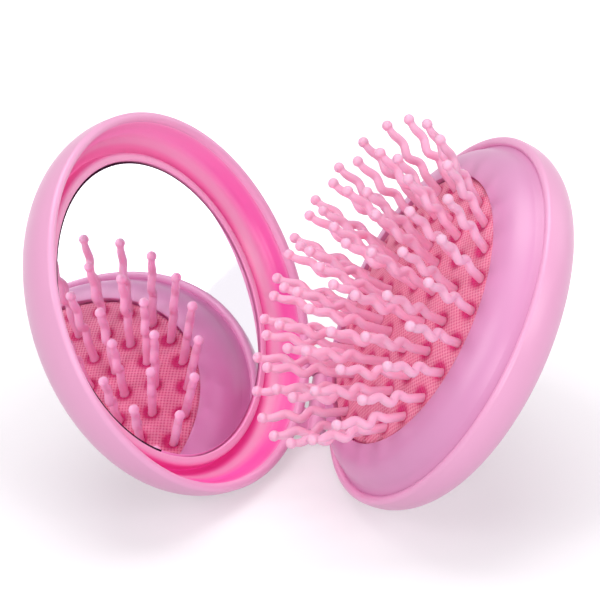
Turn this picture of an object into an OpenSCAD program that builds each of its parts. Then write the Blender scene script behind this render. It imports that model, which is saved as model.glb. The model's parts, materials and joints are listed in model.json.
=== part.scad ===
// Folding hairbrush with mirror: a round compact whose lid holds a mirror and whose
// base holds a sliding bed of wavy pins on an air cushion. It stands open as a V on
// the edges of its two halves and the lower end of its hinge.
//
// Each half is drawn in its own frame: +Z is its axis, out of its open face, with the
// closing plane at Z = 0 and the hinge on the -X side, its axis along Y.

/* [Case] */
// Outer radius of both halves at the closing plane
case_r = 42.5; // [40:0.5:48]
// Wall of the two outer shells, which is also the width of their rounded lips
wall = 2.1; // [1.8:0.1:2.4]
// Height of the straight band of wall under the rounded lip
band_h = 1.4; // [0.6:0.1:2]
// Depth of the lid's dome behind the closing plane
lid_depth = 25; // [23:0.5:28]
// Radius of the lid's shoulder between its wall and its dome
lid_shoulder_r = 13; // [9:0.5:14]
// Depth of the base's dome behind the closing plane, before its foot is cut flat
base_depth = 19; // [18:0.5:22]
// Radius of the base's shoulder between its wall and its dome
base_shoulder_r = 8; // [7:0.5:10]
// Outer radius of the flat ring under the base that it stands on when closed
foot_r = 17; // [15:0.5:20]
// Gap between the two lips when the case is closed
lip_gap = 0.3; // [0.2:0.05:0.6]

/* [Hinge] */
// Distance from a half's axis to the hinge axis, past its outer radius
hinge_offset = 3.5; // [3:0.1:4.2]
// Outer radius of the hinge knuckles
knuckle_r = 2.3; // [2:0.1:2.6]
// Half of the hinge's whole length
hinge_half_l = 10; // [9:0.5:12]
// Half of the length of the base's middle knuckle
mid_knuckle_half_l = 4.6; // [4:0.2:6]
// Radius of the steel hinge pin
pin_r = 0.9; // [0.7:0.05:1.1]
// Gap between knuckles along the hinge
knuckle_gap = 0.25; // [0.15:0.05:0.5]
// Angle between the two halves where the lid stands open on its stop
open_angle = 72; // [60:1:90]

/* [Mirror] */
// Radius of the mirror glass
mirror_r = 33; // [31:0.25:34]
// Thickness of the mirror glass
mirror_t = 1.8; // [1.4:0.1:2.2]
// Depth of the mirror's face below the closing plane
mirror_depth = 7.4; // [7.2:0.1:8]
// Width of the raised ring around the mirror
bezel_w = 1.9; // [1.5:0.1:2.4]
// Height of that ring above the mirror's face
bezel_h = 0.5; // [0.3:0.05:0.6]
// Thickness of the foam tape under the glass
tape_t = 0.8; // [0.5:0.1:1.2]
// Wall of the lid's liner
liner_t = 1.4; // [1.2:0.1:1.6]

/* [Collar] */
// Width of the collar, from its skirt in to the round opening that the cushion shows through
collar_w = 8.9; // [8.3:0.1:9.9]
// Height of the collar's top above the closing plane
collar_h = 6; // [5.5:0.1:6.2]
// Thickness of the collar
collar_t = 1.5; // [1.2:0.1:1.7]
// Depth of the collar's skirt inside the base
skirt_h = 4.2; // [4:0.1:4.6]

/* [Pin bed] */
// Length of the thumb button that stays in its guide while the pin bed is out
button_hold = 2.3; // [2:0.1:4]
// Thickness of the rubber cushion
cushion_t = 1.2; // [0.9:0.1:1.4]
// Height of the cushion's crown above its clamped edge
cushion_rise = 6.5; // [4:0.25:8]
// Thickness of the clamp ring over the cushion's edge
clamp_t = 0.9; // [0.7:0.1:1]
// Thickness of the bed carrier's floor
carrier_t = 1.5; // [1.2:0.1:2]
// Height of the bed carrier's rim
carrier_h = 2.4; // [2.1:0.1:2.7]
// Height of the carrier's raised middle above the cushion's clamped edge
hub_rise = 3; // [2.5:0.1:3.2]
// Outer radius of the thumb button in the base
button_r = 11; // [10:0.5:12]
// Wall of the thumb button
button_t = 1.5; // [1.2:0.1:2]
// Wall of the guide sleeve
sleeve_t = 1.4; // [1.2:0.1:1.6]
// Radius of the rubber ring's section, which rubs on the thumb button
rubber_ring_r = 0.7; // [0.5:0.05:0.8]

/* [Screws] */
// Radius of the self-tapping screws
screw_r = 0.9; // [0.7:0.05:1]
// Thickness of their heads
screw_head_t = 1; // [0.8:0.1:1.2]
// Length of a screw under its head
screw_l = 5.4; // [4.8:0.1:5.6]
// Number of screws that hold the guide sleeve
sleeve_screws_n = 3; // [3:1:5]

/* [Bristles] */
// Number of pins in each ring round the middle one, from the inside out
ring_count = [6, 12, 18, 24];
// Where each ring's first pin stands, as a share of the spacing between its pins
ring_start = [0.2, 0.6, 0.3, 0.33];
// Distance from the collar's opening to the outermost ring
ring_edge_gap = 3.7; // [3.5:0.1:4.6]
// Length of a pin above the cushion, to the middle of its ball
pin_l = 19.5; // [15:0.5:21]
// Radius of a pin
bristle_r = 0.9; // [0.7:0.05:1]
// Radius of the ball on a pin's end
ball_r = 1.2; // [1.05:0.05:1.4]
// How much further out a pin leans for each millimetre from the middle, in degrees
lean_per_mm = 1.11; // [0.8:0.05:1.2]

/* [Hidden] */
$fn = 96;
eps = 0.01;
fit_gap = 0.15;        // between pieces that are fitted or glued together
slide_gap = 0.3;       // round the sliding bed
groove_w = 0.5;        // between the collar and the lip round it
bed_lap = 1.4;         // how far the bed reaches under the collar
flush_gap = 0.3;       // how far the button's face stays inside its hole
pin_gap = 0.05;        // round the hinge pin in the middle knuckle
blend = 0.002;         // how far a shoulder stands proud of its dome, so that the arcs cross
stem_gap = 0.02;       // round a stem or screw that is held tight in its hole
liner_drop = 0.6;      // from the middle of the lip down to the liner's edge
tape_inset = 3;        // from the edge of the glass in to the tape
crown_gap = 0.4;       // from the collar's opening in to the cushion's crown
edge_lap = 2;          // how far the cushion's flat edge reaches in under its crown
carrier_rim_t = 2.2;   // thickness of the carrier's rim
head_gap = 0.35;       // between the cushion and the head under it on a pin
joint_bulge = 0.04;    // how much fatter a pin is at its bends

// Shells
lip_r = wall / 2;
lip_z = -lip_gap / 2 - lip_r;              // centre of the rounded lip
waist_z = lip_z - band_h;                  // where the shoulder starts
inner_r = case_r - wall;
// Height of a dome's centre: its arc runs into the shoulder's arc with no kink
function dome_centre(depth, shoulder) =
    let (a = case_r - shoulder, b = depth - shoulder)
    (a * a + waist_z * waist_z - b * b) / (2 * (b + waist_z));
function dome_r(depth, shoulder) = dome_centre(depth, shoulder) + depth;
// Height of the surface a distance r from the axis, under a skin of thickness t
function dome_z(depth, shoulder, r, t = 0) =
    dome_centre(depth, shoulder) - sqrt(pow(dome_r(depth, shoulder) - t, 2) - r * r);
foot_z = dome_z(base_depth, base_shoulder_r, foot_r);

// Hinge
hinge_x = case_r + hinge_offset;
web_x = case_r - lip_r;                    // how far in a knuckle's web reaches

// Lid
bezel_r = mirror_r + fit_gap + bezel_w;
seat_z = -mirror_depth - mirror_t - tape_t;   // floor that the tape sits on
liner_lip_z = lip_z - liner_drop;                    // top edge of the liner, under the lip

// Collar and bed
collar_outer_r = inner_r - groove_w;
opening_r = collar_outer_r - collar_w;
collar_arc_r = collar_w;
collar_arc_z = collar_h - collar_arc_r;
lip_under_z = collar_h - collar_t;
bed_r = opening_r + bed_lap;                  // outer radius of the carrier
sleeve_r = bed_r + slide_gap;                 // inner radius of the guide sleeve
clamp_z = lip_under_z - slide_gap - clamp_t;  // underside of the clamp ring
cushion_edge_z = clamp_z - cushion_t;         // underside of the cushion's edge
carrier_z = cushion_edge_z - carrier_h;       // underside of the carrier
hub_z = cushion_edge_z + hub_rise;            // top of the carrier's raised middle
// How far the pin bed slides into the base as the lid closes
bed_travel = (hub_z - carrier_t - slide_gap - foot_z - flush_gap - button_hold) / 2;
button_face_z = foot_z + flush_gap + bed_travel;
tube_r = button_r + slide_gap;                // bore of the guide tube in the base
hub_r = tube_r + wall + slide_gap + carrier_t;    // the carrier's middle goes down over that tube
tube_top_z = hub_z - carrier_t - bed_travel - slide_gap;
rubber_ring_mid_r = button_r + stem_gap + rubber_ring_r;
rubber_ring_z = (tube_top_z + button_face_z) / 2;    // between the tube's top and the button's face
cushion_clamp_r = opening_r - crown_gap;            // where the cushion's crown starts
cushion_r = (pow(cushion_clamp_r, 2) + pow(cushion_rise, 2)) / (2 * cushion_rise);
cushion_centre_z = clamp_z + cushion_rise - cushion_r;

// Screw bosses between the guide sleeve and the collar's skirt
sleeve_outer_r = sleeve_r + sleeve_t;
sleeve_top_z = collar_arc_z + sqrt(pow(collar_arc_r - collar_t - fit_gap, 2)
                                   - pow(sleeve_outer_r - opening_r, 2));
skirt_inner_r = collar_outer_r - collar_t;
boss_at_r = (sleeve_outer_r + skirt_inner_r) / 2;
boss_r = (skirt_inner_r - sleeve_outer_r) / 2 - slide_gap;
screw_head_r = boss_r - stem_gap;
ear_t = 1.4;                                  // thickness of the sleeve's ears
ear_z = -3.6;                                 // underside of the ears
button_boss_r = 3;                            // boss that takes the button's screw

ring_pitch = (opening_r - ring_edge_gap) / len(ring_count);

// Bristles: each is a chain of straight lengths that steps from side to side
bend_at = [0, 0.30, 0.47, 0.60, 0.80, 1];     // heights, as shares of its length
bend_by = [0, 0, 0.9, -0.55, 0.75, 0.25];     // sideways steps in millimetres
head_r = 1.5;                                 // head under the cushion that holds a pin
head_t = 0.8;

// Standing pose: the case rests on the edges of both halves and on the hinge's lower end
half_angle = open_angle / 2;
// How far up a half's axis points when the hinge leans back by an angle
function axis_up(lean) = sin(half_angle) * sin(lean);
// Height of a half's lowest point above the hinge's middle, and its distance to the side
function rim_low(lean, shoulder) =
    hinge_x * cos(half_angle) * sin(lean) + waist_z * axis_up(lean)
    - (case_r - shoulder) * sqrt(1 - pow(axis_up(lean), 2)) - shoulder;
function rim_aside(lean, shoulder) =
    hinge_x * sin(half_angle) - waist_z * cos(half_angle)
    - (case_r - shoulder) * axis_up(lean) * cos(half_angle) / sqrt(1 - pow(axis_up(lean), 2));
function hinge_low(lean) = -hinge_half_l * cos(lean) - knuckle_r * sin(lean);
function mean_low(lean) = (rim_low(lean, base_shoulder_r) + rim_low(lean, lid_shoulder_r)) / 2;
// The lean at which the edges and the hinge's end come down together, by halving
function find_lean(lo, hi, n) =
    n == 0 ? (lo + hi) / 2
    : let (mid = (lo + hi) / 2)
      mean_low(mid) < hinge_low(mid) ? find_lean(mid, hi, n - 1) : find_lean(lo, mid, n - 1);
lean = find_lean(35, 70, 24);
// The small roll that brings the two unlike edges to one height
roll = atan2(rim_low(lean, base_shoulder_r) - rim_low(lean, lid_shoulder_r),
             rim_aside(lean, base_shoulder_r) + rim_aside(lean, lid_shoulder_r));
// Furthest point to the side of a half, on side 1 or -1 of the hinge
function side_reach(shoulder, side) =
    let (aside = axis_up(lean) * sin(roll) - side * cos(half_angle) * cos(roll))
    hinge_x * (side * sin(half_angle) * cos(roll) + cos(half_angle) * sin(lean) * sin(roll))
    + waist_z * aside + side * ((case_r - shoulder) * sqrt(1 - aside * aside) + shoulder);
// How far forward or back a ring about a half's axis reaches, at height z with a section r
axis_back = -sin(half_angle) * cos(lean);
function ring_y(ring_r, z, r, side) =
    z * axis_back - hinge_x * cos(half_angle) * cos(lean)
    + side * (ring_r * sqrt(1 - pow(axis_back, 2)) + r);
last_ring = len(ring_count);
tips_r = last_ring * ring_pitch + pin_l * sin(pin_lean(last_ring));
tips_z = pin_root_z(last_ring) + pin_l * cos(pin_lean(last_ring));
front_y = min(ring_y(case_r - lip_r, lip_z, lip_r, -1), ring_y(tips_r, tips_z, ball_r, -1));
back_y = ring_y(case_r - lid_shoulder_r, waist_z, lid_shoulder_r, 1);
origin = [(side_reach(base_shoulder_r, 1) + side_reach(lid_shoulder_r, -1)) / 2,
          (front_y + back_y) / 2,
          hinge_low(lean) * cos(roll)];

ring_names = ["pins_ring_1", "pins_ring_2", "pins_ring_3", "pins_ring_4"];

shell_pink = [0.93, 0.66, 0.83];
liner_pink = [0.95, 0.45, 0.66];
rubber_pink = [0.93, 0.38, 0.50];
pin_pink = [0.96, 0.60, 0.70];

// ---- Placing the halves -------------------------------------------------

// Stands what is drawn about the hinge (its axis along Z, its middle at the origin)
module stand() {
    translate(-origin) rotate([0, roll, 0]) rotate([-lean, 0, 0]) children();
}

module in_base() {
    stand() multmatrix([[sin(half_angle), 0, -cos(half_angle), hinge_x * sin(half_angle)],
                        [-cos(half_angle), 0, -sin(half_angle), -hinge_x * cos(half_angle)],
                        [0, 1, 0, 0], [0, 0, 0, 1]]) children();
}

module in_lid() {
    stand() multmatrix([[-sin(half_angle), 0, cos(half_angle), -hinge_x * sin(half_angle)],
                        [-cos(half_angle), 0, -sin(half_angle), -hinge_x * cos(half_angle)],
                        [0, -1, 0, 0], [0, 0, 0, 1]]) children();
}

// ---- Outlines that are turned about a half's axis -----------------------

// Everything inside a dome, its shoulder and its wall, under a skin of thickness t
module bowl_outline(depth, shoulder, t, top = lip_z) {
    c = dome_centre(depth, shoulder);
    r = dome_r(depth, shoulder);
    turn = asin((case_r - shoulder) / (r - shoulder));   // where dome meets shoulder
    far = 2 * r;
    intersection() {
        translate([0, c]) circle(r - t - blend);
        polygon([[0, c], [0, c - far], [far * sin(turn), c - far * cos(turn)]]);
        translate([0, -far]) square([far, far + waist_z]);
    }
    intersection() {
        translate([case_r - shoulder, waist_z]) circle(shoulder - t);
        translate([0, -far]) square([far, far + waist_z]);
    }
    translate([0, waist_z]) square([case_r - t, top - waist_z]);
}

module shell_outline(depth, shoulder) {
    difference() {
        bowl_outline(depth, shoulder, 0);
        bowl_outline(depth, shoulder, wall, lip_z + 1);
    }
    translate([case_r - lip_r, lip_z]) circle(lip_r);
}

// ---- Hinge --------------------------------------------------------------

// A knuckle from y0 to y1 with the web that joins it to its shell's wall
module knuckle(y0, y1, bore) {
    difference() {
        union() {
            translate([-hinge_x, y0, 0]) rotate([-90, 0, 0]) cylinder(r = knuckle_r, h = y1 - y0);
            difference() {
                translate([-hinge_x, y0, -knuckle_r])
                    cube([hinge_x, y1 - y0, knuckle_r - lip_gap]);
                translate([0, 0, -knuckle_r - 1]) cylinder(r = web_x, h = knuckle_r + 2);
            }
        }
        translate([-hinge_x, y0 - 1, 0]) rotate([-90, 0, 0]) cylinder(r = bore, h = y1 - y0 + 2);
    }
}

module hinge_pin() color("silver") in_lid()
    translate([-hinge_x, -hinge_half_l, 0]) rotate([-90, 0, 0])
        cylinder(r = pin_r, h = 2 * hinge_half_l);

// ---- Lid ----------------------------------------------------------------

module lid_shell() color(shell_pink) in_lid() {
    rotate_extrude() shell_outline(lid_depth, lid_shoulder_r);
    ear_y = mid_knuckle_half_l + knuckle_gap;
    knuckle(ear_y, hinge_half_l, pin_r + stem_gap);
    knuckle(-hinge_half_l, -ear_y, pin_r + stem_gap);
}

// The visible bowl of the lid, with the raised ring and the seat for the mirror
module liner_outline() {
    skin = wall + fit_gap;
    floor_z = seat_z - liner_t;
    bezel_top = bezel_h - mirror_depth;
    difference() {
        intersection() {
            bowl_outline(lid_depth, lid_shoulder_r, skin);
            translate([-1, floor_z]) square([case_r, liner_lip_z - floor_z]);
        }
        difference() {
            bowl_outline(lid_depth, lid_shoulder_r, skin + liner_t, 0);
            translate([0, floor_z - 1]) square([bezel_r, bezel_top - floor_z + 1]);
            translate([0, floor_z - 1]) square([case_r, liner_t + 1]);
        }
        translate([0, seat_z]) square([mirror_r + fit_gap, case_r]);
    }
}

module lid_liner() color(liner_pink) in_lid() rotate_extrude() liner_outline();

module mirror_glass() color("white") in_lid()
    translate([0, 0, -mirror_depth - mirror_t]) cylinder(r = mirror_r, h = mirror_t);

module mirror_tape() color("dimgray") in_lid()
    translate([0, 0, seat_z]) cylinder(r = mirror_r - tape_inset, h = tape_t);

// ---- Base ---------------------------------------------------------------

// Puts its children at each screw of the guide sleeve
module at_sleeve_screws() {
    for (i = [0 : sleeve_screws_n - 1])
        rotate([0, 0, 360 * i / sleeve_screws_n]) translate([boss_at_r, 0, 0]) children();
}

// A pan-head screw, its head's underside at the origin and its shank down -Z
module screw() {
    cylinder(r = screw_head_r, h = screw_head_t);
    translate([0, 0, -screw_l]) cylinder(r = screw_r, h = screw_l + eps);
}

module base_shell() color(shell_pink) in_base() {
    difference() {
        union() {
            rotate_extrude() shell_outline(base_depth, base_shoulder_r);
            intersection() {
                rotate_extrude() bowl_outline(base_depth, base_shoulder_r, wall / 2);
                union() {
                    translate([0, 0, foot_z]) cylinder(r = foot_r + 1, h = wall);
                    at_sleeve_screws() translate([0, 0, foot_z]) cylinder(r = boss_r, h = ear_z - foot_z);
                }
            }
            translate([0, 0, foot_z]) cylinder(r = tube_r + wall, h = tube_top_z - foot_z);
        }
        translate([0, 0, foot_z - base_depth]) cylinder(r = case_r, h = base_depth);
        translate([0, 0, foot_z - 1]) cylinder(r = tube_r, h = tube_top_z - foot_z + 2);
        rotate_extrude() translate([rubber_ring_mid_r, rubber_ring_z]) circle(rubber_ring_r + stem_gap);
        at_sleeve_screws() translate([0, 0, ear_z + ear_t - screw_l - fit_gap])
            cylinder(r = screw_r + stem_gap, h = screw_l);
    }
    knuckle(-mid_knuckle_half_l, mid_knuckle_half_l, pin_r + pin_gap);
}

module collar() color(shell_pink) in_base() rotate_extrude() {
    intersection() {
        difference() {
            translate([opening_r, collar_arc_z]) circle(collar_arc_r);
            translate([opening_r, collar_arc_z]) circle(collar_arc_r - collar_t);
        }
        translate([opening_r, collar_arc_z]) square(2 * collar_arc_r);
    }
    translate([collar_outer_r - collar_t, -skirt_h])
        square([collar_t, skirt_h + collar_arc_z]);
}

// The sleeve's wall stands in the base's dome and runs up to the collar's inner lip
module sleeve_outline() {
    difference() {
        translate([sleeve_r, -base_depth]) square([sleeve_t, base_depth + sleeve_top_z]);
        difference() {
            translate([0, -2 * base_depth]) square([case_r, 2 * base_depth + lip_z - eps]);
            bowl_outline(base_depth, base_shoulder_r, wall + fit_gap);
        }
    }
}

module guide_sleeve() color(liner_pink) in_base() difference() {
    union() {
        rotate_extrude() sleeve_outline();
        at_sleeve_screws() translate([0, 0, ear_z + stem_gap]) {
            cylinder(r = boss_r, h = ear_t - stem_gap);
            translate([sleeve_r + sleeve_t / 2 - boss_at_r, -boss_r, 0])
                cube([boss_at_r - sleeve_r - sleeve_t / 2, 2 * boss_r, ear_t - stem_gap]);
        }
    }
    at_sleeve_screws() translate([0, 0, ear_z - 1]) cylinder(r = screw_r + pin_gap, h = ear_t + 2);
}

module sleeve_screws() color("silver") in_base()
    at_sleeve_screws() translate([0, 0, ear_z + ear_t]) screw();

module rubber_ring() color("dimgray") in_base()
    rotate_extrude() translate([rubber_ring_mid_r, rubber_ring_z]) circle(rubber_ring_r);

// ---- Sliding pin bed ----------------------------------------------------

module bed_carrier() color(liner_pink) in_base() rotate_extrude() {
    // Floor, rim, and a raised middle that the thumb button is screwed to
    translate([hub_r - carrier_t, carrier_z]) square([bed_r - hub_r + carrier_t, carrier_t]);
    translate([bed_r - carrier_rim_t, carrier_z]) square([carrier_rim_t, carrier_h]);
    translate([hub_r - carrier_t, carrier_z]) square([carrier_t, hub_z - carrier_z]);
    hole_r = screw_r + pin_gap;
    translate([hole_r, hub_z - carrier_t]) square([hub_r - hole_r, carrier_t]);
}

module thumb_button() color(shell_pink) in_base() rotate_extrude() {
    rise = hub_z - carrier_t - stem_gap - button_face_z;
    hole_r = screw_r + stem_gap;
    translate([0, button_face_z]) square([button_r, button_t]);
    translate([button_r - button_t, button_face_z]) square([button_t, rise]);
    translate([hole_r, button_face_z]) square([button_boss_r - hole_r, rise]);
}

module button_screw() color("silver") in_base() translate([0, 0, hub_z]) screw();

module clamp_ring() color(liner_pink) in_base() rotate_extrude()
    translate([cushion_clamp_r, clamp_z]) square([bed_r - cushion_clamp_r, clamp_t]);

// Lean and place of the pins of one ring
function pin_lean(ring) = ring * ring_pitch * lean_per_mm;
function pin_root_z(ring) = cushion_centre_z + sqrt(pow(cushion_r, 2) - pow(ring * ring_pitch, 2));

// Angles round the axis at which the pins of one ring stand
function pin_turns(ring) =
    ring == 0 ? [0]
    : let (count = ring_count[ring - 1])
      [for (i = [0 : count - 1]) 360 * (i + ring_start[ring - 1]) / count];

// Puts its children at the root of each pin of a ring, +Z along the pin
module at_pins(ring) {
    for (turn = pin_turns(ring))
        rotate([0, 0, turn]) translate([ring * ring_pitch, 0, pin_root_z(ring)])
            rotate([0, pin_lean(ring), 0]) children();
}

module cushion() color(rubber_pink) in_base() difference() {
    rotate_extrude() {
        difference() {
            translate([0, cushion_centre_z]) circle(cushion_r);
            translate([0, cushion_centre_z]) circle(cushion_r - cushion_t);
            translate([-2 * cushion_r, -2 * cushion_r])
                square([4 * cushion_r, 2 * cushion_r + clamp_z]);
            translate([-2 * cushion_r, clamp_z - 1]) square([2 * cushion_r, 2 * cushion_r]);
        }
        translate([cushion_clamp_r - edge_lap, cushion_edge_z])
            square([bed_r - cushion_clamp_r + edge_lap, cushion_t]);
    }
    for (ring = [0 : len(ring_count)]) at_pins(ring)
        translate([0, 0, -4 * cushion_t]) cylinder(r = bristle_r + stem_gap, h = 6 * cushion_t);
}

function bend_point(i) = [bend_by[i], 0, bend_at[i] * pin_l];

// A straight round length between two points
module rod(a, b, r) {
    d = b - a;
    translate(a) rotate([0, acos(d.z / norm(d)), atan2(d.y, d.x)]) cylinder(r = r, h = norm(d), $fn = 24);
}

module bristle() {
    last = len(bend_at) - 1;
    under = -cushion_t - head_gap;
    translate([0, 0, under - head_t]) cylinder(r = head_r, h = head_t, $fn = 24);
    rod([0, 0, under - eps], bend_point(1), bristle_r);
    for (i = [1 : last - 1]) {
        translate(bend_point(i)) sphere(r = bristle_r + joint_bulge, $fn = 24);
        rod(bend_point(i), bend_point(i + 1), bristle_r);
    }
    translate(bend_point(last)) sphere(r = ball_r, $fn = 24);
}

// One ring of pins; each pin's bends lie along the hinge's direction
module pins(ring) color(pin_pink) in_base() {
    for (turn = pin_turns(ring))
        rotate([0, 0, turn]) translate([ring * ring_pitch, 0, pin_root_z(ring)])
            rotate([0, pin_lean(ring), 0]) rotate([0, 0, 90 - turn]) bristle();
}

lid_shell();
lid_liner();
mirror_glass();
mirror_tape();
base_shell();
collar();
guide_sleeve();
sleeve_screws();
rubber_ring();
hinge_pin();
bed_carrier();
thumb_button();
button_screw();
cushion();
clamp_ring();
pins(0);  // pin_middle
for (ring = [1 : len(ring_count)])
    pins(ring);
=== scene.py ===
"""Folding hairbrush with a mirror: the looks of every piece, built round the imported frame."""

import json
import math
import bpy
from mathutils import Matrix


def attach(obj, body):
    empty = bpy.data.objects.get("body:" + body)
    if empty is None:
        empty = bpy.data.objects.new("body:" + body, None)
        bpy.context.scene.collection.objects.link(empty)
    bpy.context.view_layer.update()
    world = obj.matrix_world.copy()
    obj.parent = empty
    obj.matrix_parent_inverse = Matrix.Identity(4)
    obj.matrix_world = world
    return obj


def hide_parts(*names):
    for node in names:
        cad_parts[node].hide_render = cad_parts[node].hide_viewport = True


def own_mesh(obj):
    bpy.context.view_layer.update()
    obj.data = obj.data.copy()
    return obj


bl_info = {
    "name": "Folding hairbrush with mirror",
    "version": (1, 0, 0),
    "blender": (4, 5, 0),
    "location": "View3D > Sidebar > Hairbrush",
    "description": "Builds a compact folding hairbrush, its mirror, pin bed and studio",
    "category": "Object",
}

import bmesh
import bpy
import numpy as np
from mathutils import Matrix, Vector

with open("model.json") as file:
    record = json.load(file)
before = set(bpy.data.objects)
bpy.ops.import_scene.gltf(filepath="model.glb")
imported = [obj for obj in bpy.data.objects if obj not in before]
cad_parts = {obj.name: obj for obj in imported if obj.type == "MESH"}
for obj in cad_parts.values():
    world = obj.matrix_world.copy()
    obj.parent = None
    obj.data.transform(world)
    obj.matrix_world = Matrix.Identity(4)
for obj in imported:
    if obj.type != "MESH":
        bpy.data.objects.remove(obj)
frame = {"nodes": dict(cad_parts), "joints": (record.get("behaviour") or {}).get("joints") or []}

MM = 0.001

# ---- The two halves' own frames: Z out of the open face, the hinge on the -X side ----

JOINTS = {j["name"]: j for j in frame["joints"]}
HINGE_X = 46.0                              # from a half's axis to the hinge's, in millimetres
OPEN_ANGLE = math.radians(JOINTS["lid_fold"]["range_deg"][1])
HINGE_AT = Vector(JOINTS["lid_fold"]["pos_m"])
HINGE_DIR = Vector(JOINTS["lid_fold"]["axis"]).normalized()
BASE_OUT = -Vector(JOINTS["bed_slide"]["axis"]).normalized()
LID_OUT = Matrix.Rotation(math.pi - OPEN_ANGLE, 3, HINGE_DIR) @ BASE_OUT


def half_frame(out, along):
    """Matrix from a half's own frame, in millimetres, to the row frame, in metres."""
    side = along.cross(out)
    at = HINGE_AT + side * HINGE_X * MM
    turn = Matrix((side, along, out)).transposed().to_4x4()
    return Matrix.Translation(at) @ turn @ Matrix.Scale(MM, 4)


IN_BASE = half_frame(BASE_OUT, HINGE_DIR)
IN_LID = half_frame(LID_OUT, -HINGE_DIR)

# ---- Sizes of the case, in millimetres ----

CASE_R = 42.5
WALL = 2.1
FIT = 0.15                                  # room round a piece that is fitted or glued in
LIP_R = WALL / 2
LIP_Z = -1.2
WAIST_Z = -2.6                              # a shell keeps its full width from here to its lip
LID_DEPTH, LID_SHOULDER_R = 25.0, 13.0
BASE_DEPTH, BASE_SHOULDER_R = 19.0, 8.0
DOME_STEPS, SHOULDER_STEPS, LIP_STEPS = 44, 30, 17
FOOT_R, FOOT_ROUNDING = 17.0, 0.5
TUBE_R, TUBE_ROUNDING = 11.3, 0.8
TUBE_TOP_Z = -5.67
KNUCKLE_R, HINGE_HALF_L, MID_HALF_L = 2.3, 10.0, 4.6
KNUCKLE_TOP_Z, KNUCKLE_BEVEL, KNUCKLE_GAP = -0.3, 0.25, 0.25
MIRROR_R, MIRROR_T, MIRROR_DEPTH = 33.0, 1.8, 7.4
BACK_BEVEL = 0.1                            # on the mirror's hidden edge
BEZEL_W, BEZEL_H = 1.9, 0.5
BEZEL_ROUNDING = (0, 0.9, 0.95, 0.5, 0)     # from the trough over the bezel to the glass
TAPE_T, LINER_T = 0.8, 1.4
BOWL_SWELL = 2.2                            # from the waist down to where the bowl's wall turns in
TROUGH_RISE, BEZEL_FOOT = 0.9, 0.35         # over the mirror's seat: the wall's end, the bezel's foot
COLLAR_W, COLLAR_H, COLLAR_T, SKIRT_H = 8.9, 6.0, 1.5, 4.2
COLLAR_START, COLLAR_END = 24, 88           # the collar's arc, in degrees
COLLAR_ROUNDING = (0, 0.6, 0.4, 0)
COLLAR_OUTER_R = 39.9
OPENING_R = COLLAR_OUTER_R - COLLAR_W
# Points from the inner edge of a case's lip (across, up), where the bowl and the collar begin
BOWL_MOUTH = ((0.25, -0.2), (-0.25, -1.0), (-0.95, -2.6))
COLLAR_VALLEY = ((0.25, 0.15), (-0.15, 0.42), (-0.6, 0.95))

# ---- Sizes of the cushion and its pins, in millimetres ----

CLAMP_Z, CUSHION_T, CUSHION_RISE = 3.3, 1.2, 6.5
CUSHION_CLAMP_R, BED_R, BED_BEVEL = 30.6, 32.4, 0.2
CROWN_Z = CLAMP_Z + CUSHION_RISE
EDGE_R, EDGE_Z, FULLNESS = 30.7, 5.2, 2.3
EDGE_ROLL, EDGE_DROP = 0.9, 0.45
POLE_R = 0.28                               # first ring of points round the cushion's middle
DIMPLE_R, DIMPLE_DEPTH = 1.7, 0.75
ROOT_SHADE_R, ROOT_SHADE_EDGE = 2.1, 4      # reach of the painted shade round a pin, and how crisp it ends
RING_PITCH = 6.825
RING_COUNT = (1, 6, 12, 18, 24)
RING_START = (0.0, 0.2, 0.6, 0.3, 0.33)     # first pin of each ring, in pins from the +X side
LEAN_PER_MM = 1.11                          # degrees outwards for each millimetre from the middle
PIN_SIDES = 16
# Where a stem bends, as shares of its length, and how far to which side
BEND_AT = (0, 0.28, 0.43, 0.585, 0.74, 0.90, 1.0)
BEND_BY = (0, 0, 1.05, -0.75, 0.70, 0.05, 0.25)
# How thick a stem is at its root and at its neck under the ball, as shares of its own radius
ROOT_GIRTH = (1.2, 1.2, 1.15, 1.05)
NECK_GIRTH = (0.97, 0.92, 0.86, 0.84)
ROOT_POINTS = (-1.6, -0.6)                  # heights of a stem's points inside the cushion
OUTER_PIECES = 8


def crown_z(r):
    """Height of the cushion's crown a distance r from its middle."""
    return EDGE_Z + (CROWN_Z - EDGE_Z) * (1 - (r / EDGE_R) ** FULLNESS)


def root_z(r):
    """Height of a pin's root: on the clamped dome, just under the fuller crown."""
    dome_r = (CUSHION_CLAMP_R ** 2 + CUSHION_RISE ** 2) / (2 * CUSHION_RISE)
    return CROWN_Z - dome_r + math.sqrt(dome_r ** 2 - r * r)


# ---- Outlines, as lines of (r, z) points ----

def arc(cx, cz, r, a0, a1, n):
    """Points of an arc about (cx, cz), its angles in degrees from the +r direction."""
    return [(cx + r * math.cos(math.radians(a)), cz + r * math.sin(math.radians(a)))
            for a in np.linspace(a0, a1, n)]


def dome(depth, shoulder):
    """Centre height and radius of the dome that meets a shoulder with no kink."""
    a, b = CASE_R - shoulder, depth - shoulder
    centre = (a * a + WAIST_Z ** 2 - b * b) / (2 * (b + WAIST_Z))
    return centre, centre + depth


def dome_z(depth, shoulder, r):
    """Height of a dome's outside a distance r from its middle."""
    centre, radius = dome(depth, shoulder)
    return centre - math.sqrt(radius ** 2 - r * r)


def bowl_side(depth, shoulder, skin, start_r):
    """A bowl's surface under a skin, from radius start_r on the dome up to its waist."""
    centre, r = dome(depth, shoulder)
    meet = math.degrees(math.asin((CASE_R - shoulder) / (r - shoulder)))
    start = math.degrees(math.asin(start_r / (r - skin)))
    low = arc(0, centre, r - skin, start - 90, meet - 90, DOME_STEPS)
    side = arc(CASE_R - shoulder, WAIST_Z, shoulder - skin, meet - 90, 0, SHOULDER_STEPS)
    return low + side[1:]


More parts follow.
